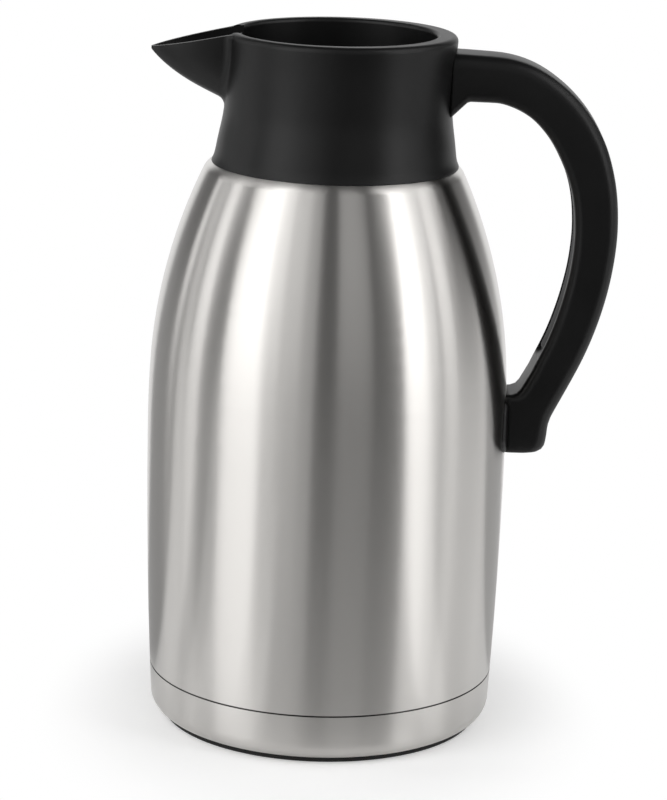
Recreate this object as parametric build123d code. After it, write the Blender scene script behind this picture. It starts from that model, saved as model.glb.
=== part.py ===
from build123d import *
import os
from math import asin, cos, radians, sin, sqrt

# Thermal carafe: double-wall steel body, plastic collar with spout, looped handle,
# screw-in stopper with a flip lid. Millimetres, +Z up, origin on the vessel's axis at the
# surface it stands on. The handle is on +X and the spout on -X.

# ---------------------------------------------------------------- steel body
sheet = 0.6                 # thickness of both steel walls
vacuum_gap = 5.0            # space between the two walls
floor_height = 1.6          # steel rim above the table, which the rubber pad fills
base_corner = 7.0           # round between floor and side
# the outer side is three arcs that run into each other: up to the belly, above it, shoulder
foot_radius = 67.3          # top of the base corner
belly_radius, belly_height = 70.0, 117.0
chest_arc, chest_top = 513.0, 138.6         # radius of the arc above the belly, and where it ends
shoulder_arc, shoulder_top = 208.0, 218.0   # the next arc, and where the body turns in to its neck
seam_height = 20.4          # weld between the shell and the base cup
seam_groove = 0.3
neck_radius = 37.8          # outside of the shell's neck
neck_start = 230.0          # height where the shoulder has become the neck
mouth_height = 238.0        # top of the rolled steel mouth
mouth_bore = 33.0           # inside radius of the flask's neck
bead_height = 232.4         # middle of the snap bead around the neck
bead_depth = 1.1
flask_floor = 11.0          # underside of the flask
flask_corner = 14.0
getter_radius, getter_thickness = 6.0, 3.0

# base: the pad sits in a recess, the vacuum seal in a dimple above it
pad_radius = 59.6
pad_recess_radius = 54.8
pad_recess_depth = 1.6
pad_groove_radius, pad_groove_width, pad_groove_depth = 46.0, 3.0, 0.6
dimple_radius, dimple_depth = 9.0, 2.0
port_radius = 1.5           # hole that the air was pumped out through
fit_gap = 0.15              # room between pieces that push together
seat_gap = 0.02             # room under pieces that lie on the curved shell

# ---------------------------------------------------------------- collar
rim_height = 271.4
# outer side of the collar, as (radius, drop below the rim)
collar_side = [(48.5, 51.4), (47.9, 48.4), (46.4, 45.4), (45.4, 42.4), (44.7, 37.4), (43.8, 31.4),
               (43.5, 23.4), (43.6, 13.4), (43.8, 0.0)]
collar_lean = 1.9           # the rim's outside is this far off centre, towards the handle
collar_lean_at_lip = 0.3
lip_round = 1.0
rim_outer_round, rim_inner_round = 2.2, 1.5
well_radius = 37.8          # inside of the rim
snap_rib = (228.9, 230.7)   # rib that grips under the neck's bead, bottom and top
collar_cavity_radius = 41.0

# liner ring inside the collar, which carries the stopper's thread
liner_wall = 3.0
liner_inner_radius = 36.4
liner_top = 260.0
gasket_thickness = 1.5

# spout
spout_root = 37.0           # distance of its root from the axis
spout_reach = 71.0          # distance of its tip from the axis
spout_root_half_width = 12.8
spout_tip_height = 264.0
spout_wall = 1.6
spout_blend = 4.0           # round where the spout leaves the collar
# underside of the spout, as (distance from the axis, height)
spout_keel = [(36.0, 240.0), (44.6, 245.4), (52.4, 249.2), (60.0, 253.6), (66.0, 258.1), (70.7, 262.9)]
trough_floor = 247.0        # where the pour leaves the well
trough_skin = 2.2           # thickness under the trough
trough_sky = 6.0            # the cut goes on this far above the spout's edges
tip_half_width, tip_depth = 0.6, 0.8    # of the trough, at the tip

# ---------------------------------------------------------------- handle
handle_half_width = 11.5
handle_round = 3.8
# back of the grip, as (distance beyond the belly, drop below the rim)
grip_back = [(-8.0, 7.1), (4.5, 10.6), (18.8, 19.8), (28.7, 31.3), (36.9, 48.8), (40.6, 70.4),
             (37.7, 90.7), (32.3, 112.3), (23.3, 134.3), (16.7, 146.6)]
# palm side of the grip, from the foot up to the collar
grip_front = [(3.8, 139.2), (7.7, 131.4), (14.4, 116.6), (19.1, 101.9), (22.1, 87.4), (21.7, 67.5),
              (17.4, 48.0), (12.3, 38.9), (4.8, 31.3), (-3.0, 26.9), (-9.0, 25.6)]
gusset_top, gusset_foot = (-20.6, 26.0), (-25.0, 31.9)
foot_bottom_drop = 162.4    # underside of the foot below the rim
foot_depth = 14.8           # how far the foot stands out from the belly
foot_kink_drop = 150.4
foot_corner = 4.0
flange_half_angle = 16.0    # the foot's flange wraps this far round the body
flange_thickness = 2.4
flange_height = 20.0
flange_bevel = 3.5
grip_skin = 3.4             # wall of the hollow grip
channel_half_width = 7.9
insert_thickness = 2.4
insert_sink = 0.3

# fixings
screw_radius, screw_head_radius, screw_head_height = 1.75, 3.2, 2.0
collar_screw_length = 15.0
collar_screw_drop = 18.4     # below the rim
collar_screw_spread = 4.6    # each side of the middle
bracket_sheet = 2.0
bracket_half_width = 6.0
bracket_height = 13.0
bracket_tab_length = 11.0
bracket_above_foot = 6.0    # tab above the underside of the foot
pocket_room = 0.6
foot_screw_length = 8.0
plug_thickness = 1.6

# ---------------------------------------------------------------- stopper
plug_radius = 32.4
plug_bottom = 208.0
plug_wall = 2.2
stopper_gasket_thickness = 1.6
stopper_flange_radius = 36.0
stopper_flange = 2.4
drum_radius = 35.4
deck_top = 248.4
deck_thickness = 2.6
pour_hole_x = -15.0         # middle of the pour hole
pour_hole_length, pour_hole_width = 13.0, 24.0
tube_wall = 1.8
vent_x = 1.5
vent_radius = 1.4
foam_gap = 0.2

hinge_x = 12.0
hinge_height = 3.7          # pin above the deck
pin_radius = 1.5
pin_clearance = 0.05
barrel_radius = 3.1
barrel_half_length = 13.6
ear_thickness = 3.2
ear_gap = 0.35
lid_radius = 33.6
lid_lift = 1.3              # underside of the lid above the deck
lid_edge = 2.2              # thickness at the lid's edge
lid_crown = 2.0             # extra height at its middle
tab_thickness, tab_half_width, tab_height = 2.2, 9.0, 3.2
seal_sheet = 1.2
seal_plug_depth = 3.0
seal_plug_gap = 0.7
knob_start, knob_end = 17.5, 33.5
knob_half_width = 3.6
knob_height = 7.6


def on_xz(x, z):
    return (x, 0, z)


def revolved(points):
    """Ring or disc from a closed outline of (radius, height) points."""
    outline = Polyline(*[on_xz(r, z) for r, z in points], close=True)
    return revolve(make_face(outline), Axis.Z)


def disc(radius, bottom, top, x=0.0, y=0.0):
    return Pos(x, y, (bottom + top) / 2) * Cylinder(radius, top - bottom)


def ring(inner, outer, bottom, top):
    return disc(outer, bottom, top) - disc(inner, bottom - 1, top + 1)


def write(name, shape):
    shape.label = name
    export_step(shape, f"parts/{name}.step")


# ---------------------------------------------------------------- body of revolution
def side_arcs():
    """Arcs of the outer side, as (centre radius, centre height, arc radius, end angles)."""
    rise, narrowing = belly_height - floor_height - base_corner, belly_radius - foot_radius
    lower = (rise ** 2 + narrowing ** 2) / (2 * narrowing)
    chest_end = asin((chest_top - belly_height) / chest_arc)
    shoulder_r = belly_radius - chest_arc + (chest_arc - shoulder_arc) * cos(chest_end)
    shoulder_z = belly_height + (chest_arc - shoulder_arc) * sin(chest_end)
    shoulder_end = asin((shoulder_top - shoulder_z) / shoulder_arc)
    return [(belly_radius - lower, belly_height, lower, -asin(rise / lower), 0.0),
            (belly_radius - chest_arc, belly_height, chest_arc, 0.0, chest_end),
            (shoulder_r, shoulder_z, shoulder_arc, chest_end, shoulder_end)]


def side_lines(inset, start):
    """The three arcs moved inwards by a distance, from a starting height up."""
    lines = []
    for r, z, arc, low, high in side_arcs():
        radius = arc - inset
        low = max(low, asin(max(-1.0, (start - z) / radius))) if not lines else low
        ends = [on_xz(r + radius * cos(a), z + radius * sin(a)) for a in (low, (low + high) / 2, high)]
        lines.append(ThreePointArc(*ends))
    return lines


def side_radius(height):
    """Radius of the outer skin at a height between the base corner and the shoulder."""
    for r, z, arc, _, high in side_arcs():
        if height <= z + arc * sin(high):
            break
    return r + sqrt(arc ** 2 - (height - z) ** 2)


def vessel(inset, neck, floor, corner, top):
    """Solid of revolution inside the outer skin: side, shoulder, neck, flat ends."""
    side = side_lines(inset, floor + corner)
    start, end = side[0] @ 0, side[-1] @ 1
    foot = (start.X - corner, floor)
    middle = (start.X - corner * (1 - sqrt(0.5)), floor + corner * (1 - sqrt(0.5)))
    shoulder = Spline(end, on_xz(neck, neck_start - inset / 2), tangents=[side[-1] % 1, (0, 0, 1)])
    outline = [Line(on_xz(0, floor), on_xz(*foot)),
               ThreePointArc(on_xz(*foot), on_xz(*middle), start), *side, shoulder,
               Line(shoulder @ 1, on_xz(neck, top)), Line(on_xz(neck, top), on_xz(0, top)),
               Line(on_xz(0, top), on_xz(0, floor))]
    return revolve(make_face(Wire(outline)), Axis.Z)


neck_top = mouth_height - sheet
outer_form = vessel(0.0, neck_radius, floor_height, base_corner, neck_top)
outer_hollow = vessel(sheet, neck_radius - sheet, floor_height + sheet, base_corner - sheet,
                      neck_top + 1)
steel_skin = outer_form - outer_hollow
seam_radius = side_radius(seam_height)
groove = revolved([(seam_radius - seam_groove, seam_height),
                   (seam_radius + 1, seam_height - seam_groove - 1),
                   (seam_radius + 1, seam_height + seam_groove + 1)])
below_seam = disc(2 * belly_radius, -1, seam_height)


def outer_shell():
    bead = Pos(0, 0, bead_height) * revolve(
        Plane.XZ * Pos(neck_radius, 0) * Ellipse(bead_depth, bead_depth), Axis.Z)
    bead = bead - disc(neck_radius - sheet / 2, 0, 2 * mouth_height)
    return steel_skin - below_seam - groove + bead


def base_cup():
    corner_foot = foot_radius - base_corner
    inner_floor = floor_height + sheet
    raised = floor_height + pad_recess_depth
    floor_sheet = revolved([
        (corner_foot, floor_height), (pad_recess_radius, floor_height),
        (pad_recess_radius, raised), (dimple_radius, raised),
        (dimple_radius, raised + dimple_depth), (port_radius, raised + dimple_depth),
        (port_radius, raised + dimple_depth + sheet), (dimple_radius + sheet, raised + dimple_depth + sheet),
        (dimple_radius + sheet, raised + sheet), (pad_recess_radius + sheet, raised + sheet),
        (pad_recess_radius + sheet, inner_floor), (corner_foot, inner_floor)])
    side = (steel_skin & below_seam) - groove - disc(corner_foot, 0, inner_floor + 1)
    return side + floor_sheet


def base_pad():
    raised = floor_height + pad_recess_depth
    pad = revolved([(0, 0), (pad_radius - 0.6, 0), (pad_radius, 0.6), (pad_radius, floor_height),
                    (pad_recess_radius - fit_gap, floor_height), (pad_recess_radius - fit_gap, raised),
                    (0, raised)])
    groove_ring = ring(pad_groove_radius, pad_groove_radius + pad_groove_width, -1, pad_groove_depth)
    return pad - groove_ring


def vacuum_seal():
    ceiling = floor_height + pad_recess_depth + dimple_depth
    plug = disc(dimple_radius - fit_gap, ceiling - 1.4, ceiling)
    return plug + disc(port_radius - fit_gap, ceiling, ceiling + sheet)


def inner_flask():
    inset = sheet + vacuum_gap
    outside = vessel(inset, mouth_bore + sheet, flask_floor, flask_corner, mouth_height)
    inside = vessel(inset + sheet, mouth_bore, flask_floor + sheet, flask_corner - sheet,
                    mouth_height + 1)
    lip = ring(mouth_bore, neck_radius, neck_top, mouth_height)
    return outside - inside + lip


def getter():
    capsule = disc(getter_radius, flask_floor - getter_thickness, flask_floor)
    rim_edges = capsule.edges().group_by(Axis.Z)[0]
    return fillet(rim_edges, 0.8)


# ---------------------------------------------------------------- collar and spout
def rim_slope():
    return (rim_height - spout_tip_height) / (spout_reach - spout_root)


def spout_top(distance):
    return rim_height - rim_slope() * max(0.0, distance - spout_root)


def spout_half_width(distance):
    """Plan of the spout: full at the root, drawn in to a point at the tip."""
    share = min(1.0, max(0.0, (distance - spout_root) / (spout_reach - spout_root)))
    return spout_root_half_width * (1 - share ** 2.6) ** 0.75


def spout_section(distance, half_width, keel, top, above=0.0):
    """Rounded V across the spout, closed by a level line at the top or a height above it."""
    depth = top - keel
    side = [(half_width, top), (half_width, keel + 0.42 * depth), (0.5 * half_width, keel), (0, keel)]
    right = Bezier(*[(-distance, y, z) for y, z in side])
    left = Bezier(*[(-distance, -y, z) for y, z in reversed(side)])
    if above == 0.0:
        return make_face(Wire([right, left, Line(left @ 1, right @ 0)]))
    left_corner, right_corner = (-distance, -half_width, top + above), (-distance, half_width, top + above)
    return make_face(Wire([right, left, Line(left @ 1, left_corner), Line(left_corner, right_corner),
                           Line(right_corner, right @ 0)]))


def spout_form():
    sections = [spout_section(d, max(spout_half_width(d), 0.5), keel, spout_top(d))
                for d, keel in spout_keel]
    return loft(sections)


def trough_cut():
    """Channel from the well to the tip, open to the sky."""
    last = len(spout_keel) - 1
    floors = [max(keel + trough_skin * (1 - 0.5 * i / last), trough_floor)
              for i, (_, keel) in enumerate(spout_keel)]
    sections = [spout_section(d, spout_half_width(d) - spout_wall, floor, spout_top(d), trough_sky)
                for (d, _), floor in zip(spout_keel[:-1], floors)]
    tip = spout_reach - spout_wall
    sections.append(spout_section(tip, tip_half_width, spout_top(tip) - tip_depth, spout_top(tip),
                                  trough_sky))
    entry = extrude(sections[0], amount=spout_keel[0][0] - well_radius + 12, dir=(1, 0, 0))
    return loft(sections) + entry


def collar_radius(side, height):
    """Radius where the collar's side line crosses a height."""
    low, high = 0.0, 1.0
    for _ in range(40):
        middle = (low + high) / 2
        low, high = (middle, high) if (side @ middle).Z < height else (low, middle)
    return (side @ low).X


def collar_form():
    """Outside of the collar: round at every height, leaning a little towards the handle."""
    side = Spline(*[on_xz(r, rim_height - drop) for r, drop in collar_side])
    lip, rings = rim_height - collar_side[0][1], 7
    sections = []
    for i in range(rings + 1):
        height = lip + (rim_height - lip) * i / rings
        radius = collar_radius(side, height) if 0 < i < rings else collar_side[0 if i == 0 else -1][0]
        shift = collar_lean_at_lip + (collar_lean - collar_lean_at_lip) * i / rings
        sections.append(Pos(shift, 0, height) * Circle(radius))
    return loft(sections)


liner_outer_radius = liner_inner_radius + liner_wall
liner_bottom = mouth_height + gasket_thickness
collar_outside = collar_form()


collar_screw_height = rim_height - collar_screw_drop
collar_screw_seat = liner_outer_radius + 0.2 + screw_head_height


def both_screws(radius, start, end):
    """Pair of cylinders along X, one for each collar screw."""
    return (across(radius, start, end, collar_screw_height, -collar_screw_spread)
            + across(radius, start, end, collar_screw_height, collar_screw_spread))


def collar():
    body = collar_outside
    rim = body.edges().group_by(Axis.Z)[-1]
    body = fillet(rim, rim_outer_round)
    body = fillet(body.edges().group_by(Axis.Z)[0], lip_round)
    body = body - disc(well_radius, 0, 2 * rim_height)
    inner_edge = [e for e in body.edges().filter_by(GeomType.CIRCLE).group_by(Axis.Z)[-1]
                  if abs(e.radius - well_radius) < 0.01]
    body = fillet(inner_edge, rim_inner_round)
    body = body + (spout_form() - disc(well_radius, 0, 2 * rim_height))
    roots = [e for e in body.edges() if e.center().X < -spout_root and abs(e.center().Y) > spout_blend
             and collar_side[4][1] > rim_height - e.center().Z > rim_outer_round + 1
             and e.center().X > -spout_root - 8]
    body = fillet(roots, spout_blend)
    body = body - disc(liner_outer_radius + fit_gap / 3, 0, liner_top)
    body = body - disc(collar_cavity_radius, snap_rib[1], liner_bottom)
    rib = ring(neck_radius + 2 * fit_gap, liner_outer_radius + 1, snap_rib[0], snap_rib[1])
    body = body + rib
    body = body - vessel(-fit_gap, neck_radius + fit_gap, floor_height, base_corner, neck_top)
    body = body - trough_cut()
    body = body - both_screws(screw_radius + 0.15, 30, 60)
    return body - both_screws(screw_head_radius + 0.3, 30, collar_screw_seat)


def across(radius, start, end, height, y=0.0):
    """Cylinder along X between two distances from the axis."""
    return Pos((start + end) / 2, y, height) * Rot(0, 90, 0) * Cylinder(radius, end - start)


def thread_liner():
    return ring(liner_inner_radius, liner_outer_radius, liner_bottom, liner_top) - trough_cut()


def collar_gasket():
    return ring(stopper_flange_radius + 2 * fit_gap, liner_outer_radius, mouth_height, liner_bottom)


# ---------------------------------------------------------------- handle
def grip_points(stations):
    return [on_xz(belly_radius + out, rim_height - drop) for out, drop in stations]


foot_bottom = rim_height - foot_bottom_drop
back_line = Spline(*grip_points(grip_back), tangents=[(1, 0, -0.12), (-0.5, 0, -0.87)])
front_line = Spline(*grip_points(grip_front), tangents=[(0.45, 0, 0.89), (-1, 0, -0.02)])


def handle_profile():
    heel = belly_radius + foot_depth
    inside = belly_radius - 12
    top_inside = collar_side[-1][0] - 6
    kink = on_xz(heel + 0.5, rim_height - foot_kink_drop)
    heel_corner = on_xz(heel, foot_bottom)
    gusset_end = grip_points([gusset_foot])[0]
    gusset_inside = (gusset_end[0] - 6, 0, gusset_end[2] - 7)
    crotch = rim_height - grip_front[0][1]
    outline = [
        Line((top_inside, 0, (back_line @ 0).Z + 0.8), back_line @ 0), back_line,
        Line(back_line @ 1, kink), Line(kink, heel_corner),
        Line(heel_corner, on_xz(inside, foot_bottom)),
        Line(on_xz(inside, foot_bottom), on_xz(inside, crotch)),
        Line(on_xz(inside, crotch), front_line @ 0), front_line,
        Line(front_line @ 1, grip_points([gusset_top])[0]),
        Line(grip_points([gusset_top])[0], gusset_inside),
        Line(gusset_inside, (top_inside, 0, gusset_inside[2])),
        Line((top_inside, 0, gusset_inside[2]), (top_inside, 0, (back_line @ 0).Z + 0.8))]
    return make_face(Wire(outline))


def grip_solid():
    """Grip and foot as one bar with rounded long edges, before it is fitted and hollowed."""
    bar = extrude(handle_profile(), amount=handle_half_width, both=True)
    outside = belly_radius - 28
    long_edges = [e for e in bar.edges()
                  if abs(abs(e.center().Y) - handle_half_width) < 0.01 and e.center().X > outside]
    return fillet(long_edges, handle_round)


def foot_flange():
    """Plate that wraps the body beside the foot, with its lower corners cut off."""
    low, high = foot_bottom, foot_bottom + flange_height
    reach = belly_radius + flange_thickness
    half_width = reach * sin(radians(flange_half_angle))
    corners = [(half_width, low + flange_bevel), (half_width, high - flange_bevel),
               (handle_half_width, high), (-handle_half_width, high),
               (-half_width, high - flange_bevel), (-half_width, low + flange_bevel),
               (-handle_half_width, low), (handle_half_width, low)]
    front = make_face(Polyline(*[(0, y, z) for y, z in corners], close=True))
    plate = extrude(front, amount=2 * belly_radius, dir=(1, 0, 0))
    return plate & vessel(-flange_thickness, neck_radius, floor_height, base_corner, neck_top)


def inset_line(line, start, end, inset, samples=12):
    """Part of a line in the XZ plane, moved into the grip, on its right, by a distance."""
    points = []
    for i in range(samples + 1):
        t = start + (end - start) * i / samples
        place, along = line @ t, line % t
        points.append((place.X + inset * along.Z, place.Z - inset * along.X))
    return Spline(*[on_xz(x, z) for x, z in points])


def strip(first, second, half_width):
    """Bar between two lines in the XZ plane that run the same way."""
    face = make_face(Wire([first, Line(first @ 1, second @ 1), second, Line(second @ 0, first @ 0)]))
    return extrude(face, amount=half_width, both=True)


channel_start, channel_end = 0.07, 0.93     # share of the palm side that is open
back_start, back_end = 0.13, 0.94           # the same stretch along the back


def grip_channel(room=0.0):
    """Hollow of the grip, open on the palm side, smaller by some room at its ends and sides."""
    share = room / front_line.length
    deep = inset_line(back_line, back_end - share, back_start + share, grip_skin)
    mouth = inset_line(front_line, channel_start + share, channel_end - share, -1.0)
    return strip(mouth, deep, channel_half_width - room)


def handle_insert():
    sunk = inset_line(front_line, channel_start, channel_end, insert_sink)
    back = inset_line(front_line, channel_start, channel_end, insert_sink + insert_thickness)
    return strip(sunk, back, channel_half_width) & grip_channel(fit_gap)


body_skin = side_radius(foot_bottom + 8)
bracket_low = foot_bottom + bracket_above_foot
bracket_end = body_skin + bracket_tab_length
foot_screw_x = bracket_end - screw_radius - 2.0


def shell_room():
    return vessel(-seat_gap, neck_radius, floor_height, base_corner, neck_top)


def handle_bracket():
    """Steel angle welded to the shell: a curved plate and a tab with a tapped hole."""
    block = Pos(body_skin + bracket_tab_length / 2, 0, bracket_low + bracket_height / 2) * Box(
        bracket_tab_length + 8, 2 * bracket_half_width, bracket_height)
    block = block & disc(bracket_end, bracket_low, bracket_low + bracket_height)
    plate = block & vessel(-bracket_sheet, neck_radius, floor_height, base_corner, neck_top)
    tab = block & disc(2 * belly_radius, bracket_low, bracket_low + bracket_sheet)
    hole = disc(screw_radius, 0, rim_height, foot_screw_x)
    return plate + tab - shell_room() - hole


def foot_pocket():
    room = pocket_room
    return Pos(body_skin + bracket_tab_length / 2 - 3, 0, bracket_low + bracket_height / 2) * Box(
        bracket_tab_length + 6 + 2 * room, 2 * (bracket_half_width + room), bracket_height + 2 * room)


def screw(length):
    """Pan-head screw, head down, its underside at height 0 and the shank up."""
    head = Pos(0, 0, -screw_head_height / 2) * Cylinder(screw_head_radius, screw_head_height)
    head = fillet(head.edges().group_by(Axis.Z)[0], 0.7)
    recess = Pos(0, 0, -screw_head_height) * (Box(3.4, 0.8, 1.6) + Box(0.8, 3.4, 1.6))
    shank = Pos(0, 0, length / 2) * Cylinder(screw_radius, length)
    return head + chamfer(shank.edges().group_by(Axis.Z)[-1], 0.5) - recess


foot_screw_seat = bracket_low - pocket_room - 1.6


def foot_screw():
    return Pos(foot_screw_x, 0, foot_screw_seat) * screw(foot_screw_length)


def screw_plug():
    return disc(screw_head_radius + 0.25, foot_bottom, foot_bottom + plug_thickness, foot_screw_x)


def collar_screws():
    lying = Rot(0, 90, 0) * screw(collar_screw_length)
    return Compound([Pos(collar_screw_seat, y, collar_screw_height) * lying
                     for y in (-collar_screw_spread, collar_screw_spread)])


def handle_grip():
    grip = (grip_solid() + foot_flange()) - collar_outside - shell_room()
    grip = grip - grip_channel() - foot_pocket()
    grip = grip - disc(screw_radius + 0.25, foot_bottom - 1, bracket_low, foot_screw_x)
    grip = grip - disc(screw_head_radius + 0.3, foot_bottom - 1, foot_screw_seat, foot_screw_x)
    return grip - both_screws(screw_radius, 30, collar_screw_seat + collar_screw_length + 0.6)


# ---------------------------------------------------------------- stopper
flange_low = mouth_height + stopper_gasket_thickness
flange_top = flange_low + stopper_flange
deck_low = deck_top - deck_thickness


def oval(x, length, width, bottom, top):
    """Upright slot-shaped bar, long in Y."""
    face = Plane.XY * Rot(0, 0, 90) * SlotOverall(width, length)
    return Pos(x, 0, bottom) * extrude(face, amount=top - bottom)


def pour_hole(grow, bottom, top):
    return oval(pour_hole_x, pour_hole_length + 2 * grow, pour_hole_width + 2 * grow, bottom, top)


def stopper_plug():
    """Cup that fills the neck, with the pour tube and the vent tube standing in it."""
    cup = disc(plug_radius, plug_bottom, deck_low)
    cup = fillet(cup.edges().group_by(Axis.Z)[0], 3.0)
    inside = disc(plug_radius - plug_wall, plug_bottom + plug_wall, deck_low + 1)
    inside = fillet(inside.edges().group_by(Axis.Z)[0], 1.5)
    tubes = pour_hole(tube_wall, plug_bottom, deck_low)
    tubes = tubes + disc(vent_radius + tube_wall, plug_bottom + 1, deck_low, vent_x)
    body = (cup - inside) + tubes
    return body - pour_hole(0, 0, deck_top) - disc(vent_radius, 0, deck_top, vent_x)


def stopper_foam():
    foam = disc(plug_radius - plug_wall - foam_gap, plug_bottom + plug_wall + 0.1, deck_low - 0.1)
    foam = fillet(foam.edges().group_by(Axis.Z)[0], 1.6)
    foam = foam - pour_hole(tube_wall + foam_gap, 0, deck_top)
    return foam - disc(vent_radius + tube_wall + foam_gap, 0, deck_top, vent_x)


def stopper_gasket():
    return ring(plug_radius + 0.5, stopper_flange_radius, mouth_height, flange_low)


def hinge_bar(radius, half_length):
    return Pos(hinge_x, 0, deck_top + hinge_height) * Rot(90, 0, 0) * Cylinder(radius, 2 * half_length)


def hinge_ears():
    middle = barrel_half_length + ear_gap + ear_thickness / 2
    top = deck_top + hinge_height
    post = Box(2 * barrel_radius, ear_thickness, hinge_height + 0.5)
    ears = []
    for y in (-middle, middle):
        round_end = Pos(hinge_x, y, top) * Rot(90, 0, 0) * Cylinder(barrel_radius, ear_thickness)
        ears.append(round_end + Pos(hinge_x, y, deck_top + hinge_height / 2 - 0.25) * post)
    return ears[0] + ears[1]


def stopper_knob():
    """Upright ridge that the fingers turn."""
    length = knob_end - knob_start
    bar = Pos((knob_start + knob_end) / 2, 0, deck_top + knob_height / 2) * Box(
        length, 2 * knob_half_width, knob_height)
    bar = fillet(bar.edges().filter_by(Axis.Z), 3.0)
    return fillet(bar.edges().group_by(Axis.Z)[-1], 1.6)


def stopper_head():
    """Deck, thread drum and flange, with the hinge ears and the turning ridge."""
    deck = disc(drum_radius, deck_low, deck_top)
    deck = fillet(deck.edges().group_by(Axis.Z)[-1], 1.0)
    drum = ring(plug_radius + 0.1, drum_radius, flange_top, deck_low)
    flange = ring(plug_radius + 0.1, stopper_flange_radius, flange_low, flange_top)
    head = deck + drum + flange + hinge_ears() + stopper_knob()
    head = head - pour_hole(0, deck_low - 1, deck_top + 1)
    head = head - disc(vent_radius, deck_low - 1, deck_top + 1, vent_x)
    return head - hinge_bar(pin_radius, drum_radius)


def hinge_pin():
    return hinge_bar(pin_radius, barrel_half_length + ear_gap + ear_thickness)


# ---------------------------------------------------------------- flip lid
def flip_lid():
    """Crowned half-round leaf with its hinge barrel, thumb tab and a socket for the seal."""
    low = deck_top + lid_lift
    edge_top = low + lid_edge
    dome_radius = (lid_radius ** 2 + lid_crown ** 2) / (2 * lid_crown)
    dome = Pos(0, 0, edge_top + lid_crown - dome_radius) * Sphere(dome_radius)
    leaf = disc(lid_radius, low, edge_top + lid_crown) & dome
    tab = Pos(tab_thickness / 2 - lid_radius + 0.8, 0, low + (lid_edge + tab_height) / 2) * Box(
        tab_thickness, 2 * tab_half_width, lid_edge + tab_height)
    tab = fillet(tab.edges().filter_by(Axis.X).group_by(Axis.Z)[-1], 2.0)
    front = Pos(hinge_x - barrel_radius - 0.8 - 2 * lid_radius, 0, low) * Box(
        4 * lid_radius, 4 * lid_radius, 4 * lid_edge)
    leaf = leaf & front
    bridge = Pos(hinge_x - barrel_radius, 0, low + lid_edge / 2) * Box(
        2 * barrel_radius, 2 * barrel_half_length, lid_edge)
    barrel = hinge_bar(barrel_radius, barrel_half_length)
    return leaf + tab + bridge + barrel - hinge_bar(pin_radius + pin_clearance, drum_radius)


def lid_seal():
    """Silicone sheet under the lid that closes the pour hole and the vent."""
    low = deck_top + lid_lift - seal_sheet
    sheet_part = pour_hole(2.6, low, low + seal_sheet)
    sheet_part = sheet_part + disc(vent_radius + 2.2, low, low + seal_sheet, vent_x)
    link = Pos((pour_hole_x + vent_x) / 2, 0, low + seal_sheet / 2) * Box(
        vent_x - pour_hole_x, 2 * vent_radius + 3, seal_sheet)
    plug = pour_hole(-seal_plug_gap, deck_top - seal_plug_depth, low)
    plug = chamfer(plug.edges().group_by(Axis.Z)[0], 0.8)
    return sheet_part + link + plug


# ---------------------------------------------------------------- write the pieces
os.makedirs("parts", exist_ok=True)
pieces = {
    "outer_shell": outer_shell, "base_cup": base_cup, "base_pad": base_pad,
    "vacuum_seal": vacuum_seal, "inner_flask": inner_flask, "getter": getter,
    "collar": collar, "thread_liner": thread_liner, "collar_gasket": collar_gasket,
    "handle_grip": handle_grip, "handle_insert": handle_insert, "handle_bracket": handle_bracket,
    "collar_screws": collar_screws, "foot_screw": foot_screw, "screw_plug": screw_plug,
    "stopper_head": stopper_head, "stopper_plug": stopper_plug, "stopper_foam": stopper_foam,
    "stopper_gasket": stopper_gasket, "hinge_pin": hinge_pin, "flip_lid": flip_lid,
    "lid_seal": lid_seal,
}
for name, make in pieces.items():
    write(name, make())
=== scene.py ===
import bpy
import bmesh
import numpy as np
from math import cos, pi, radians, sin
from mathutils import Euler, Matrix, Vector


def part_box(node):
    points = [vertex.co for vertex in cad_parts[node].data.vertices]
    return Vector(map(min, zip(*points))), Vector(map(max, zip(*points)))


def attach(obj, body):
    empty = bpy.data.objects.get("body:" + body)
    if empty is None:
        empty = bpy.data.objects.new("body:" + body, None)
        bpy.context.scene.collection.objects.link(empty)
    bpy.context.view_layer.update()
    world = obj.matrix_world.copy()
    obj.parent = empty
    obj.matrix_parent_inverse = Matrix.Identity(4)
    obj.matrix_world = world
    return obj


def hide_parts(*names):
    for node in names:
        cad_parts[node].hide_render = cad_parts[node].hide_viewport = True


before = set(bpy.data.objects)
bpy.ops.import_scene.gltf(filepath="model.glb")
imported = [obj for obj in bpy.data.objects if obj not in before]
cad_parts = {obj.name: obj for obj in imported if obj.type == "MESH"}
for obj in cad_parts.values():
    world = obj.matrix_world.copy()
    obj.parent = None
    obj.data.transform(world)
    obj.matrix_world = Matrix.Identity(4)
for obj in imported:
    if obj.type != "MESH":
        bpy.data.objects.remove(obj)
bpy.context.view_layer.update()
scene = bpy.context.scene
scene.view_settings.view_transform = "Standard"

# ---- camera: metres and degrees, lens for a 36 mm sensor on the frame's long side
camera = {
    "place": (0.0003, -1.2, 0.4385),
    "pitchDown": 14.555,
    "yaw": 0.1,             # towards the handle
    "roll": 1.685,
    "lens": 142.68,
}


def addCamera():
    data = bpy.data.cameras.new("camera")
    data.sensor_fit = "VERTICAL"
    data.sensor_height = 36.0
    data.lens = camera["lens"]
    data.clip_start, data.clip_end = 0.05, 20.0
    eye = bpy.data.objects.new("camera", data)
    turn = Euler((0, 0, radians(-camera["yaw"]))).to_matrix()
    tilt = Euler((radians(90 - camera["pitchDown"]), 0, 0)).to_matrix()
    roll = Euler((0, 0, radians(camera["roll"]))).to_matrix()
    eye.matrix_world = (turn @ tilt @ roll).to_4x4()
    eye.location = camera["place"]
    scene.collection.objects.link(eye)
    scene.camera = eye


addCamera()
print("camera ready")

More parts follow.
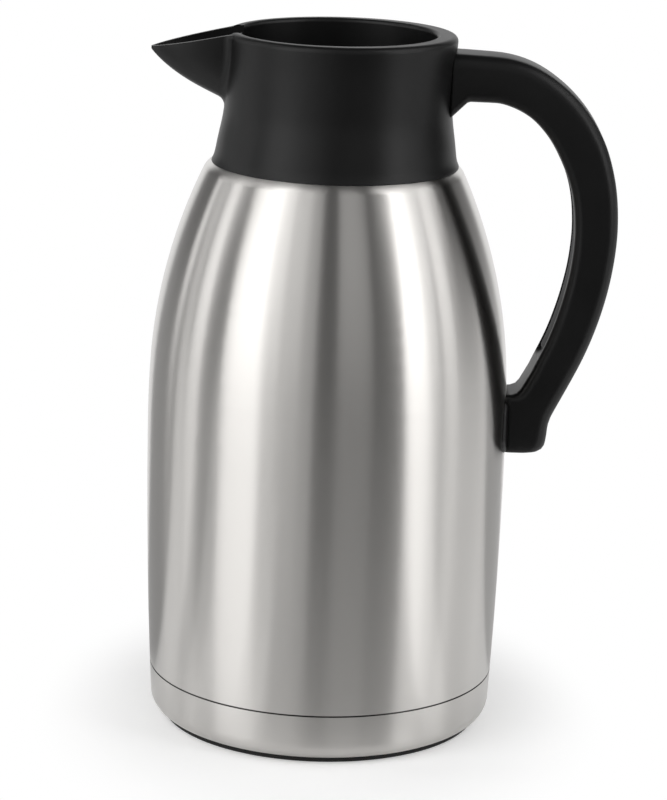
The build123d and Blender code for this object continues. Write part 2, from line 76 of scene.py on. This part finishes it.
# ---- studio: azimuth in degrees round the carafe, 0 towards the camera and + towards the handle
studio = {
    "distance": 2.0,
    "floorSize": 6.0,
    "floorColour": (0.86, 0.86, 0.86),
    "floorGlow": 0.29,          # lifts the lit floor to white for the camera
    "whiteFrom": 0.076,         # the floor turns plain white between these radii
    "whiteTo": 0.155,
    "whiteStretch": 1.35,       # sooner to the sides by this factor
    "floorDrop": 0.0001,        # the floor lies this far below the base
    "behindFrom": -0.22,        # polished things see the white floor beyond this depth
    "behindTo": 0.06,
    "coveLight": 0.62,          # pale cove behind the carafe
    "roomLight": 0.12,          # dim room on the camera's side
    "coveFrom": 0.80,           # share of the view towards the back where the cove begins
    "coveTo": 0.93,
}
lamps = {
    # name: (azimuth, width in degrees, low edge, high edge, brightness)
    "keyLeft": (-57, 28, 0.04, 4.2, 2.4),
    "keyLeftEdge": (-37, 12, 0.15, 4.2, 1.35),
    "softLeft": (-24, 12, 0.15, 4.6, 0.95),
    "faintLeft": (-13, 10, 0.15, 4.6, 0.5),
    "edgeLeft": (-93, 11, 0.15, 3.2, 1.9),
    "backLeft": (-106, 8, 0.15, 3.2, 0.8),
    "rimLeft": (-117, 6, 0.15, 2.6, 1.9),
    "softRight": (17, 23, 0.15, 4.6, 0.45),
    "keyRight": (58, 17, 0.04, 4.2, 2.7),
    "keyRightEdge": (71, 8, 0.15, 3.6, 1.7),
    "sideRight": (84, 11, 0.15, 3.2, 1.7),
    "rimRight": (99, 9, 1.0, 3.4, 2.5),
    "backRight": (116, 8, 0.15, 2.4, 0.7),
}
# cards on the floor that only reflections see
cards = {
    # name: (azimuths of the two sides, inner and outer radius, matt colour, glow)
    "frontNear": (-9, 48, 0.085, 0.32, 0.58, 0.0),
    "frontFar": (-9, 48, 0.32, 1.6, 0.13, 0.0),
    "frontLeft": (-26, -9, 0.085, 1.6, 0.70, 0.0),
    "brightLeft": (-65, -40, 0.10, 1.85, 0.0, 1.16),
    "brightRight": (51, 68, 0.10, 1.85, 0.0, 1.22),
    "gapLeft": (-86, -74, 0.12, 1.85, 0.0, 0.5),
    "darkLeft": (-146, -108, 0.10, 1.85, 0.0, 0.42),
    "darkRight": (117, 150, 0.10, 1.85, 0.0, 0.55),
}
cardLift = 0.0004
cardSteps = 24


def gridPiece(name, points, closeAround=False, closeAlong=False):
    # quads between neighbours of a rows x columns grid of points
    rows, columns = points.shape[:2]
    index = np.arange(rows * columns).reshape(rows, columns)
    if closeAlong:
        index = np.vstack([index, index[:1]])
    if closeAround:
        index = np.hstack([index, index[:, :1]])
    corners = (index[:-1, :-1], index[:-1, 1:], index[1:, 1:], index[1:, :-1])
    faces = np.stack([c.ravel() for c in corners], axis=1)
    mesh = bpy.data.meshes.new(name)
    mesh.from_pydata(points.reshape(-1, 3).tolist(), [], faces.tolist())
    mesh.update()
    mesh.shade_smooth()
    piece = bpy.data.objects.new(name, mesh)
    scene.collection.objects.link(piece)
    return piece


def shaderNodes(tree):
    tree.nodes.clear()

    def add(kind, **values):
        node = tree.nodes.new(kind)
        for key, value in values.items():
            if key in node.inputs:
                node.inputs[key].default_value = value
            else:
                setattr(node, key, value)
        return node

    return add, tree.links.new


def riseBetween(add, link, value, low, high, start=0.0, end=1.0):
    # smooth step of a value from start to end between two limits
    ramp = add("ShaderNodeMapRange", interpolation_type="SMOOTHSTEP")
    for name, number in (("From Min", low), ("From Max", high), ("To Min", start), ("To Max", end)):
        ramp.inputs[name].default_value = number
    link(value, ramp.inputs["Value"])
    return ramp.outputs["Result"]


def combine(add, link, operation, first, second):
    node = add("ShaderNodeMath", operation=operation)
    for socket, value in zip(node.inputs, (first, second)):
        if isinstance(value, float):
            socket.default_value = value
        else:
            link(value, socket)
    return node.outputs[0]


def whereWhite(add, link, behind):
    # the camera sees the white background all round, gloss and glass see it behind the carafe
    path = add("ShaderNodeLightPath")
    shiny = combine(add, link, "MAXIMUM", path.outputs["Is Glossy Ray"],
                    path.outputs["Is Transmission Ray"])
    return combine(add, link, "MAXIMUM", path.outputs["Is Camera Ray"],
                   combine(add, link, "MULTIPLY", shiny, behind))


def addWorld():
    world = bpy.data.worlds.new("studio")
    world.use_nodes = True
    add, link = shaderNodes(world.node_tree)
    # brightness rises from the room on the camera's side to the cove behind the carafe
    where = add("ShaderNodeTexCoord")
    split = add("ShaderNodeSeparateXYZ")
    link(where.outputs["Generated"], split.inputs[0])
    depth = split.outputs["Y"]
    room = riseBetween(add, link, depth, studio["coveFrom"], studio["coveTo"],
                       studio["roomLight"], studio["coveLight"])
    behind = riseBetween(add, link, depth, studio["coveFrom"], studio["coveTo"])
    white = whereWhite(add, link, behind)
    pick = add("ShaderNodeMix", data_type="FLOAT")
    link(white, pick.inputs[0])
    link(room, pick.inputs[2])
    pick.inputs[3].default_value = 1.0
    glow = add("ShaderNodeBackground", Color=(1, 1, 1, 1))
    link(pick.outputs[0], glow.inputs["Strength"])
    out = add("ShaderNodeOutputWorld")
    link(glow.outputs[0], out.inputs["Surface"])
    scene.world = world


def addFloor():
    half = studio["floorSize"] / 2
    mesh = bpy.data.meshes.new("floor")
    level = -studio["floorDrop"]
    mesh.from_pydata([(-half, -half, level), (half, -half, level), (half, half, level),
                      (-half, half, level)], [], [(0, 1, 2, 3)])
    floor = bpy.data.objects.new("floor", mesh)
    scene.collection.objects.link(floor)
    material = bpy.data.materials.new("paleFloor")
    material.use_nodes = True
    add, link = shaderNodes(material.node_tree)
    paper = add("ShaderNodeBsdfDiffuse", Color=(*studio["floorColour"], 1))
    glow = add("ShaderNodeEmission", Color=(1, 1, 1, 1))
    white = add("ShaderNodeEmission", Color=(1, 1, 1, 1), Strength=1.0)
    where = add("ShaderNodeTexCoord")
    split = add("ShaderNodeSeparateXYZ")
    link(where.outputs["Object"], split.inputs[0])
    behind = riseBetween(add, link, split.outputs["Y"], studio["behindFrom"], studio["behindTo"])
    seen = whereWhite(add, link, behind)
    link(combine(add, link, "MULTIPLY", seen, studio["floorGlow"]), glow.inputs["Strength"])
    lit = add("ShaderNodeAddShader")
    link(paper.outputs[0], lit.inputs[0])
    link(glow.outputs[0], lit.inputs[1])
    # distance from the axis sets where the floor turns plain white
    stretched = add("ShaderNodeVectorMath", operation="MULTIPLY")
    stretched.inputs[1].default_value = (studio["whiteStretch"], 1, 0)
    link(where.outputs["Object"], stretched.inputs[0])
    length = add("ShaderNodeVectorMath", operation="LENGTH")
    link(stretched.outputs[0], length.inputs[0])
    far = riseBetween(add, link, length.outputs["Value"], studio["whiteFrom"], studio["whiteTo"])
    mix = add("ShaderNodeMixShader")
    link(combine(add, link, "MULTIPLY", far, seen), mix.inputs[0])
    link(lit.outputs[0], mix.inputs[1])
    link(white.outputs[0], mix.inputs[2])
    out = add("ShaderNodeOutputMaterial")
    link(mix.outputs[0], out.inputs["Surface"])
    mesh.materials.append(material)


def addCards():
    # each is a sector of a flat ring
    for name, (fromSide, toSide, near, far, colour, glow) in cards.items():
        turn, reach = np.meshgrid(np.radians(np.linspace(fromSide, toSide, cardSteps)),
                                  np.array([near, far]))
        points = np.stack([reach * np.sin(turn), -reach * np.cos(turn),
                           np.full_like(turn, cardLift)], -1)
        card = gridPiece(name, points)
        material = bpy.data.materials.new(name)
        material.use_nodes = True
        add, link = shaderNodes(material.node_tree)
        matt = add("ShaderNodeBsdfDiffuse", Color=(colour, colour, colour, 1))
        bright = add("ShaderNodeEmission", Color=(1, 1, 1, 1), Strength=glow)
        both = add("ShaderNodeAddShader")
        link(matt.outputs[0], both.inputs[0])
        link(bright.outputs[0], both.inputs[1])
        out = add("ShaderNodeOutputMaterial")
        link(both.outputs[0], out.inputs["Surface"])
        card.data.materials.append(material)
        for ray in ("camera", "diffuse", "shadow", "transmission"):
            setattr(card, "visible_" + ray, False)


def addLamps():
    for name, (azimuth, wide, low, high, brightness) in lamps.items():
        distance = studio["distance"]
        width = 2 * distance * sin(radians(wide / 2))
        data = bpy.data.lights.new(name, "AREA")
        data.shape = "RECTANGLE"
        data.size, data.size_y = width, high - low
        data.energy = brightness * pi * width * (high - low)   # radiance of the panel's face
        lamp = bpy.data.objects.new(name, data)
        place = Vector((distance * sin(radians(azimuth)), -distance * cos(radians(azimuth)),
                        (low + high) / 2))
        lamp.location = place
        level = Vector((0, 0, place.z)) - place
        lamp.rotation_euler = level.to_track_quat("-Z", "Y").to_euler()
        scene.collection.objects.link(lamp)


addWorld()
addFloor()
addCards()
addLamps()
print("studio ready")

# ---- materials: noise scales are per metre, depths in metres
steelLook = {
    "colour": (0.60, 0.585, 0.565),
    "roughness": 0.30,
    "roughnessSpread": 0.015,
    "anisotropic": 1.0,
    "lineScale": 2600.0,        # brush lines along the height
    "lineLength": 14.0,         # and round the body
    "lineDepth": 0.0000013,
    "seamHeight": 0.0204,       # painted shade: the steel's colour is darkened in a thin band round the seam's groove
    "seamHalf": 0.00024,
    "seamFade": 1.7,
    "seamPaintedShade": 0.10,
}
plasticLook = {
    # name: (colour, roughness, specular, scale of the grain, depth of the grain)
    "blackPlastic": ((0.0018, 0.0018, 0.0019), 0.40, 0.30, 3600.0, 0.00001),
    "innerPlastic": ((0.003, 0.003, 0.0032), 0.42, 0.3, 2600.0, 0.00001),
    "softGrip": ((0.005, 0.005, 0.0052), 0.6, 0.25, 2200.0, 0.00003),
}
patchScale = 60.0
patchSpread = 0.03
metalLook = {
    # name: (colour, roughness)
    "flaskSteel": ((0.68, 0.67, 0.66), 0.22),
    "fixingSteel": ((0.6, 0.6, 0.6), 0.3),
    "dullMetal": ((0.42, 0.41, 0.39), 0.55),
}
metalNoise = 900.0
metalSpread = (-0.05, 0.06)
softLook = {
    # name: (colour, roughness, scale of the noise, its detail, its depth)
    "blackRubber": ((0.003, 0.003, 0.003), 0.75, 1800.0, 3.0, 0.00003),
    "silicone": ((0.42, 0.42, 0.43), 0.5, 1500.0, 2.0, 0.00001),
    "paleFoam": ((0.8, 0.78, 0.7), 0.9, 700.0, 4.0, 0.0002),
}
siliconeGlow = {"weight": 0.15, "reach": 0.002}


def surface(name, colour, roughness, metallic=0.0):
    material = bpy.data.materials.new(name)
    material.use_nodes = True
    add, link = shaderNodes(material.node_tree)
    shader = add("ShaderNodeBsdfPrincipled", Roughness=roughness, Metallic=metallic)
    shader.inputs["Base Color"].default_value = (*colour, 1)
    out = add("ShaderNodeOutputMaterial")
    link(shader.outputs[0], out.inputs["Surface"])
    return material, shader, add, link


def noise(add, link, scale, stretch=(1, 1, 1), detail=2.0):
    # noise on object coordinates, scaled along each axis
    where = add("ShaderNodeTexCoord")
    mapping = add("ShaderNodeMapping")
    mapping.inputs["Scale"].default_value = stretch
    link(where.outputs["Object"], mapping.inputs["Vector"])
    texture = add("ShaderNodeTexNoise", Scale=scale, Detail=detail)
    link(mapping.outputs[0], texture.inputs["Vector"])
    return texture.outputs["Fac"]


def spread(add, link, value, low, high):
    # stretches the range that noise usually stays in to low..high
    ramp = add("ShaderNodeMapRange")
    ramp.inputs["From Min"].default_value = 0.25
    ramp.inputs["From Max"].default_value = 0.75
    ramp.inputs["To Min"].default_value = low
    ramp.inputs["To Max"].default_value = high
    link(value, ramp.inputs["Value"])
    return ramp.outputs[0]


def bumpFrom(add, link, height, depth, shader):
    bump = add("ShaderNodeBump", Strength=1.0, Distance=depth)
    link(height, bump.inputs["Height"])
    link(bump.outputs[0], shader.inputs["Normal"])


def brushedSteel():
    look = steelLook
    material, shader, add, link = surface("brushedSteel", look["colour"], look["roughness"], 1.0)
    shader.inputs["Anisotropic"].default_value = look["anisotropic"]
    shader.inputs["Anisotropic Rotation"].default_value = 0.25
    where = add("ShaderNodeTexCoord")
    split = add("ShaderNodeSeparateXYZ")
    link(where.outputs["Object"], split.inputs[0])
    # painted shade: near the seam's height the base colour is scaled down to a tenth of itself, a
    # dark line standing for the groove's shadow
    above = combine(add, link, "SUBTRACT", split.outputs["Z"], look["seamHeight"])
    away = combine(add, link, "ABSOLUTE", above, 0.0)
    shade = riseBetween(add, link, away, look["seamHalf"], look["seamHalf"] * look["seamFade"],
                        look["seamPaintedShade"], 1.0)
    paintedShadeColour = add("ShaderNodeVectorMath", operation="SCALE")
    paintedShadeColour.inputs[0].default_value = look["colour"]
    link(shade, paintedShadeColour.inputs["Scale"])
    link(paintedShadeColour.outputs[0], shader.inputs["Base Color"])
    around = add("ShaderNodeTangent", direction_type="RADIAL", axis="Z")
    link(around.outputs[0], shader.inputs["Tangent"])
    # brush lines run round the body: the noise is long across and very short in height
    lines = noise(add, link, 1.0, (look["lineLength"], look["lineLength"], look["lineScale"]), 3.0)
    bumpFrom(add, link, lines, look["lineDepth"], shader)
    link(spread(add, link, lines, look["roughness"] - look["roughnessSpread"],
                look["roughness"] + look["roughnessSpread"]), shader.inputs["Roughness"])
    return material


def plainSteel(name):
    colour, roughness = metalLook[name]
    material, shader, add, link = surface(name, colour, roughness, 1.0)
    link(spread(add, link, noise(add, link, metalNoise), roughness + metalSpread[0],
                roughness + metalSpread[1]), shader.inputs["Roughness"])
    return material


def mouldedPlastic(name):
    colour, roughness, specular, grainScale, grainDepth = plasticLook[name]
    material, shader, add, link = surface(name, colour, roughness)
    shader.inputs["Specular IOR Level"].default_value = specular
    bumpFrom(add, link, noise(add, link, grainScale, detail=4.0), grainDepth, shader)
    patches = noise(add, link, patchScale)
    link(spread(add, link, patches, roughness - patchSpread, roughness + patchSpread),
         shader.inputs["Roughness"])
    return material


def softMaterial(name):
    colour, roughness, scale, detail, depth = softLook[name]
    material, shader, add, link = surface(name, colour, roughness)
    if name == "silicone":
        shader.inputs["Subsurface Weight"].default_value = siliconeGlow["weight"]
        shader.inputs["Subsurface Radius"].default_value = (siliconeGlow["reach"],) * 3
    bumpFrom(add, link, noise(add, link, scale, detail=detail), depth, shader)
    return material


# ---- drawn pieces: lengths are in millimetres, and heights of the handle are down from the rim
mm = 0.001
weld = {"doubles": 0.000002, "slivers": 0.0000005}
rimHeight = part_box("collar")[1][2]
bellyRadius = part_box("outer_shell")[1][0]


def closeUp(piece):
    # merges the doubles where a surface meets itself and turns its faces outwards
    bm = bmesh.new()
    bm.from_mesh(piece.data)
    bmesh.ops.remove_doubles(bm, verts=bm.verts, dist=weld["doubles"])
    bmesh.ops.dissolve_degenerate(bm, edges=bm.edges, dist=weld["slivers"])
    bmesh.ops.recalc_face_normals(bm, faces=bm.faces)
    bm.to_mesh(piece.data)
    bm.free()
    piece.data.shade_smooth()
    return piece


def wear(piece, body, slot, material, *nodes):
    piece.data.materials.append(material)
    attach(piece, body)
    if nodes:
        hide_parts(*nodes)


def smoothLine(points, count):
    # cubic through the points, with each tangent parallel to the line between its neighbours
    points = np.array(points, float)
    steps = np.linalg.norm(np.diff(points, axis=0), axis=1)
    along = np.concatenate([[0], np.cumsum(steps)])
    tangents = np.gradient(points, along, axis=0)
    where = np.linspace(0, along[-1], count)
    k = np.clip(np.searchsorted(along, where, side="right") - 1, 0, len(steps) - 1)
    h = steps[k][:, None]
    t = ((where - along[k]) / steps[k])[:, None]
    return ((2 * t ** 3 - 3 * t ** 2 + 1) * points[k] + (t ** 3 - 2 * t ** 2 + t) * h * tangents[k]
            + (3 * t ** 2 - 2 * t ** 3) * points[k + 1] + (t ** 3 - t ** 2) * h * tangents[k + 1])


def closeEnds(points):
    # both ends are drawn in to a point, so that the piece is closed
    first, last = (np.repeat(points[i].mean(axis=0)[None, None], points.shape[1], axis=1)
                   for i in (0, -1))
    return np.concatenate([first, points, last])


# ---- handle: its lines are points (out from the belly, down from the rim)
grip = {
    "back": [(-12.0, 6.6), (-7.0, 7.0), (-1.5, 8.0), (4.3, 9.9), (16.0, 17.0), (25.7, 26.7),
             (32.4, 37.5), (37.2, 51.8), (39.4, 71.0), (38.0, 89.5), (33.8, 108.2), (27.6, 125.1),
             (24.6, 131.5)],
    "palm": [(-12.0, 24.3), (-8.0, 24.5), (-2.4, 26.1), (3.8, 29.4), (10.0, 35.4), (16.7, 46.5),
             (20.6, 56.7), (22.7, 71.5), (22.1, 85.2), (19.4, 99.7), (14.9, 114.4), (8.5, 129.1)],
    "backRoot": [(-27.0, 5.9), (-25.4, 6.0), (-19.9, 6.2), (-19.0, 6.25)],
    "palmRoot": [(-27.0, 31.2), (-25.4, 29.7), (-20.2, 24.6), (-19.0, 24.2)],
    "backFoot": [(22.2, 136.4), (20.2, 140.4), (18.3, 144.2), (17.0, 147.0), (16.2, 149.6),
                 (15.9, 151.5), (15.7, 154.0), (15.4, 156.4), (15.0, 158.2), (14.1, 159.7),
                 (12.8, 160.6), (11.0, 161.0)],
    "palmFoot": [(6.6, 132.6), (4.9, 135.7), (3.4, 137.4), (1.2, 138.2), (-1.9, 138.4),
                 (-2.3, 141.5), (-2.3, 148.0), (-2.3, 153.0), (-2.3, 157.0), (-2.3, 159.2),
                 (-2.3, 160.5), (-2.3, 161.0)],
    "footWidths": (1, 1, 1, 1, 1, 1, 1, 1, 0.995, 0.975, 0.93, 0.86),
    "halfWidth": 11.5,
    "backRound": 5.0,
    "palmRound": 4.0,
    "roundLimit": 0.9,          # share of the half thickness that a rounding may take
    "stations": 120,
    "arcPoints": 9,
    "slotHalf": 7.4,            # channel for the insert on the palm side
    "slotDepth": 1.4,
    "slotWall": 0.1,
    "slotEnds": (0.10, 0.93),   # shares of the smooth part of the handle
    "slotFade": 0.012,
}
insert = {
    "sink": 0.3,                # below the palm line
    "crown": 0.3,
    "gap": 0.15,                # to the channel's walls
    "rooted": 0.3,              # into the channel's floor
    "across": 15,
}


def gripLines():
    # back and palm lines from the collar to the foot, as equally long lists of stations
    return [np.vstack([grip[side + "Root"], smoothLine(grip[side], grip["stations"]),
                       grip[side + "Foot"]]) for side in ("back", "palm")]


def onCarafe(line):
    return np.stack([bellyRadius + line[..., 0] * mm, np.zeros(line.shape[:-1]),
                     rimHeight - line[..., 1] * mm], -1)


def rise(value, low, high):
    share = np.clip((value - low) / (high - low), 0, 1)
    return share * share * (3 - 2 * share)


def addHandle(material):
    # rounded rectangle carried between the two lines: u runs from palm to back, w across
    backLine, palmLine = gripLines()
    back, palm = onCarafe(backLine), onCarafe(palmLine)
    count, foot = len(back), len(grip["footWidths"])
    half = np.linalg.norm(back - palm, axis=1)[:, None] / 2
    middle, out = (back + palm) / 2, (back - palm) / (2 * half)
    width = np.full((count, 1), grip["halfWidth"] * mm)
    width[-foot:, 0] *= grip["footWidths"]
    arc = np.linspace(0, pi / 2, grip["arcPoints"])
    rounds = []
    for sideU, sideW, radius, start in ((1, 1, grip["backRound"], 0),
                                        (-1, 1, grip["palmRound"], pi / 2),
                                        (-1, -1, grip["palmRound"], pi),
                                        (1, -1, grip["backRound"], 1.5 * pi)):
        r = np.minimum(radius * mm, grip["roundLimit"] * np.minimum(half, width))
        rounds.append((sideU * (half - r) + r * np.cos(start + arc),
                       sideW * (width - r) + r * np.sin(start + arc)))
    # the palm side is sunk between its two round edges, where the soft insert lies
    share = (np.arange(count) - len(grip["palmRoot"])) / grip["stations"]
    (begin, end), fade = grip["slotEnds"], grip["slotFade"]
    opened = rise(share, begin - fade, begin) * (1 - rise(share, end, end + fade))
    sunk = (opened * grip["slotDepth"] * mm)[:, None]
    inside, outside = grip["slotHalf"], grip["slotHalf"] + grip["slotWall"]
    across = np.array([outside, inside, 0.0, -inside, -outside]) * mm
    slotU = -half + sunk * np.array([0, 1, 1, 1, 0])
    slotW = np.broadcast_to(across, (count, 5))
    u = np.hstack([rounds[0][0], rounds[1][0], slotU, rounds[2][0], rounds[3][0]])
    w = np.hstack([rounds[0][1], rounds[1][1], slotW, rounds[2][1], rounds[3][1]])
    w[-foot:] = np.clip(w[-foot:], -width[-foot:], width[-foot:])
    points = middle[:, None, :] + u[..., None] * out[:, None, :]
    points[..., 1] += w
    wear(closeUp(gridPiece("handle_moulding", closeEnds(points), closeAround=True)),
         "jug", "black_plastic", material, "handle_grip")


def addInsert(material):
    # strip along the palm line, sunk below it and crowned across, closed by its own back
    backLine, palmLine = gripLines()
    first = len(grip["palmRoot"])
    low, high = (int(first + share * grip["stations"]) for share in grip["slotEnds"])
    back, palm = onCarafe(backLine)[low:high], onCarafe(palmLine)[low:high]
    out = (back - palm) / np.linalg.norm(back - palm, axis=1)[:, None]
    side = np.linspace(-1, 1, insert["across"])
    front = (insert["sink"] + insert["crown"] * side ** 4) * mm
    rear = np.full(insert["across"], (grip["slotDepth"] + insert["rooted"]) * mm)
    u = np.concatenate([front, rear])
    w = np.concatenate([side, side[::-1]]) * (grip["slotHalf"] - insert["gap"]) * mm
    points = palm[:, None, :] + u[None, :, None] * out[:, None, :]
    points[..., 1] += w
    wear(closeUp(gridPiece("palm_insert", closeEnds(points), closeAround=True)),
         "jug", "soft_grip", material, "handle_insert")


# ---- plate of the foot that hugs the steel
flange = {
    "bottom": 161.0,            # down from the rim
    "height": 21.0,
    # (share of the height, half width)
    "widths": [(0, 12.0), (0.16, 15.7), (0.3, 17.5), (0.8, 16.0), (1, 12.2)],
    "thickness": 1.4,
    "edgePower": 12,
    "sunk": 0.8,                # its back lies this far inside the steel's outline
    "bellyHeight": 117.0,
    "bellyCurve": 0.6,          # fall of the steel over the square of the height, per metre
    "rows": 41,
    "columns": 61,
}


def addFlange(material):
    # pillow on the round body: thickness falls to nothing at all four edges
    up, side = np.meshgrid(np.linspace(-1, 1, flange["rows"]),
                           np.linspace(-1, 1, flange["columns"]), indexing="ij")
    share = (up + 1) / 2
    half = np.interp(share, *zip(*flange["widths"])) * mm
    height = rimHeight - (flange["bottom"] - flange["height"] * share) * mm
    skin = bellyRadius - (height - flange["bellyHeight"] * mm) ** 2 * flange["bellyCurve"]
    power = flange["edgePower"]
    fall = np.sqrt(np.clip((1 - np.abs(up) ** power) * (1 - np.abs(side) ** power), 0, 1))
    front = skin + (flange["thickness"] * fall - flange["sunk"] * (1 - fall)) * mm
    rear = skin - flange["sunk"] * mm
    turn = half * side / bellyRadius
    layers = [np.stack([r * np.cos(turn), r * np.sin(turn), height], -1) for r in (front, rear)]
    points = np.concatenate([layers[0], layers[1][:, ::-1]], axis=1)
    wear(closeUp(gridPiece("foot_flange", points, closeAround=True)),
         "jug", "black_plastic", material)


# ---- pad under the base, with rings pressed in its underside; its black rim reaches out past the real pad and up the steel's corner, partly pad and partly painted contact shadow under the base
pad = {
    "radius": 62.2,
    "edge": 0.5,
    "bevel": 0.15,
    "top": 1.6,
    "rimAndShadowTop": 1.85,            # its rim follows the steel's corner up, a black band that is partly pad and partly painted contact shadow
    "edgeSlope": 1.7,
    "rings": (20.0, 29.0, 38.0, 47.0, 55.0),
    "ringWidth": 1.6,
    "ringFloor": 0.7,           # share of a ring's width that is flat
    "ringDepth": 0.5,
    "around": 192,
}


def addPad(material):
    # closed outline of (radius, height) points turned once round the axis
    radius, half = pad["radius"], pad["ringWidth"] / 2
    outline = [(0.0, 0.0)]
    for middle in pad["rings"]:
        outline += [(middle - half, 0.0), (middle - half * pad["ringFloor"], pad["ringDepth"]),
                    (middle + half * pad["ringFloor"], pad["ringDepth"]), (middle + half, 0.0)]
    outline += [(radius - pad["edge"], 0.0), (radius - pad["bevel"], pad["bevel"]),
                (radius, pad["edge"]), (radius, pad["rimAndShadowTop"]),
                (radius - pad["edgeSlope"], pad["top"]), (0.0, pad["top"])]
    turn = np.linspace(0, 2 * pi, pad["around"], endpoint=False)[:, None]
    r, z = (np.array(outline, float) * mm).T
    points = np.stack([r * np.cos(turn), r * np.sin(turn), z + 0 * turn], -1)
    wear(closeUp(gridPiece("ringed_pad", points, closeAround=True, closeAlong=True)),
         "jug", "rubber", material, "base_pad")


# ---- threads: ridges on one helix, whose rise a turn is that of the stopper's joint
thread = {
    "lead": 16.0,
    "ridgeHalf": 0.8,
    "crestHalf": 0.4,
    "sunk": 0.6,                # foot of a ridge inside its wall, as a share of its height
    "runOut": 14,               # a ridge reaches its full height after one part in this many
    "steps": 90,
    "drumRadius": 35.4,
    "drumCrest": 36.34,
    "linerRadius": 36.4,
    "linerCrest": 36.06,
    # (start in degrees, height, span in degrees)
    "drumRidges": [(start, 243.4, 85) for start in (-45, 45, 135, 225)],
    "linerRidges": [(-150, 244.73, 270), (-150, 248.73, 190), (-150, 252.73, 100)],
}


def addRidges(name, body, ridges, root, crest, material):
    # a low trapezium carried up the helix, drawn in to nothing at both ends
    sunk = root + (root - crest) * thread["sunk"]
    radius = np.array([sunk, root, crest, crest, root, sunk])
    offset = (np.array([-1, -1, 0, 0, 1, 1]) * thread["ridgeHalf"]
              + np.array([0, 0, -1, 1, 0, 0]) * thread["crestHalf"])
    share = np.linspace(0, 1, thread["steps"])[:, None]
    full = np.minimum(1, np.minimum(share, 1 - share) * thread["runOut"])
    for number, (start, height, span) in enumerate(ridges, 1):
        turn = radians(start) + share * radians(span)
        r = (sunk + (radius - sunk) * full) * mm
        z = (height + thread["lead"] * share * span / 360 + offset * full) * mm
        points = np.stack([r * np.cos(turn), r * np.sin(turn), z + 0 * turn], -1)
        wear(closeUp(gridPiece(name + str(number), points, closeAround=True)),
             body, "inner_plastic", material)


def dress():
    black, inner, soft = (mouldedPlastic(name) for name in plasticLook)
    steel = brushedSteel()
    flask, fixing, dull = (plainSteel(name) for name in metalLook)
    padRubber, clear, pale = (softMaterial(name) for name in softLook)
    finishes = {
        "outer_shell": steel, "base_cup": steel, "inner_flask": flask, "handle_bracket": fixing,
        "collar_screws": fixing, "foot_screw": fixing, "hinge_pin": fixing, "getter": dull,
        "vacuum_seal": dull, "collar": black, "handle_grip": black, "screw_plug": black,
        "flip_lid": black, "handle_insert": soft, "thread_liner": inner, "stopper_head": inner,
        "stopper_plug": inner, "base_pad": padRubber, "collar_gasket": clear,
        "stopper_gasket": clear, "lid_seal": clear, "stopper_foam": pale,
    }
    for name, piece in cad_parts.items():
        piece.data.materials.clear()
        piece.data.materials.append(finishes[name])
        piece.material_slots[0].material = finishes[name]
    addHandle(black)
    addInsert(soft)
    addFlange(black)
    addPad(padRubber)
    addRidges("stopper_thread_", "stopper", thread["drumRidges"], thread["drumRadius"],
              thread["drumCrest"], inner)
    addRidges("liner_thread_", "jug", thread["linerRidges"], thread["linerRadius"],
              thread["linerCrest"], inner)


dress()
print("finishes ready")
